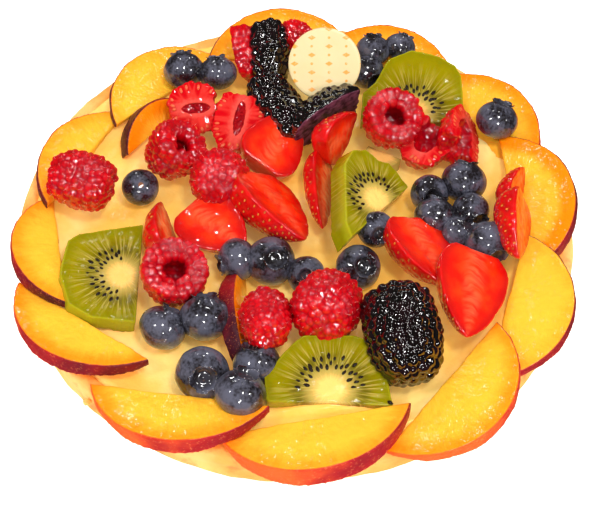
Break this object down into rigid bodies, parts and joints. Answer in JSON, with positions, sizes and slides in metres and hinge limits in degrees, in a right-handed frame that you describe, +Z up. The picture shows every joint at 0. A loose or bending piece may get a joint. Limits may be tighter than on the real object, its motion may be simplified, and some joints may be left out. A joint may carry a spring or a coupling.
{
  "type": "fruit tart",
  "caption": "Round open tart with a low shortcrust shell, custard filling, a ring of overlapping nectarine slices and a glazed heap of mixed berries and kiwi.",
  "frame": {"origin": "middle of the crust's flat underside", "axes": "+Z up out of the tart, -Y towards the side seen nearest in the usual three-quarter view, +X to its right"},
  "size_m": [0.2009, 0.2088, 0.046],
  "materials": {
    "crust": "matte, baked shortcrust, pale gold with slightly darker edge",
    "custard": "smooth pastry cream under clear glaze",
    "nectarine": "wet yellow flesh with crimson to purple skin, glazed",
    "kiwi": "wet green flesh with pale core and black seeds, glazed",
    "raspberry": "red, glazed",
    "strawberry": "red skin with yellow seeds, orange-red cut face, glazed",
    "bramble": "purple-black, glazed",
    "blueberry": "slate blue with grey bloom, glazed",
    "chocolate": "ivory white chocolate with a small gold dot and diamond pattern"
  },
  "bodies": {
    "root": {"blueberries_01": "blueberry", "blueberries_03": "blueberry", "blueberries_04": "blueberry", "blueberries_07": "blueberry", "blueberries_08": "blueberry", "blueberries_14": "blueberry", "blueberries_15": "blueberry", "blueberries_16": "blueberry", "blueberries_19": "blueberry", "blueberries_21": "blueberry", "bramble_01": "bramble", "bramble_02": "bramble", "bramble_03": "bramble", "bramble_04": "bramble", "chocolate_disc": "chocolate", "crust": "crust", "custard": "custard", "kiwi_01": "kiwi", "kiwi_02": "kiwi", "kiwi_03": "kiwi", "kiwi_04": "kiwi", "kiwi_05": "kiwi", "nectarine_01": "nectarine", "nectarine_02": "nectarine", "nectarine_03": "nectarine", "nectarine_04": "nectarine", "nectarine_05": "nectarine", "nectarine_06": "nectarine", "nectarine_07": "nectarine", "nectarine_08": "nectarine", "nectarine_09": "nectarine", "nectarine_10": "nectarine", "nectarine_11": "nectarine", "nectarine_12": "nectarine", "nectarine_13": "nectarine", "nectarine_14": "nectarine", "raspberry_01": "raspberry", "raspberry_02": "raspberry", "raspberry_03": "raspberry", "raspberry_04": "raspberry", "raspberry_05": "raspberry", "raspberry_07": "raspberry", "raspberry_08": "raspberry", "raspberry_09": "raspberry", "raspberry_10": "raspberry", "raspberry_11": "raspberry", "raspberry_12": "raspberry", "raspberry_13": "raspberry", "raspberry_14": "raspberry", "strawberry_01": "strawberry", "strawberry_02": "strawberry", "strawberry_03": "strawberry", "strawberry_04": "strawberry", "strawberry_05": "strawberry", "strawberry_06": "strawberry", "strawberry_07": "strawberry", "strawberry_08": "strawberry", "strawberry_09": "strawberry", "strawberry_10": "strawberry"}
  },
  "joints": []
}
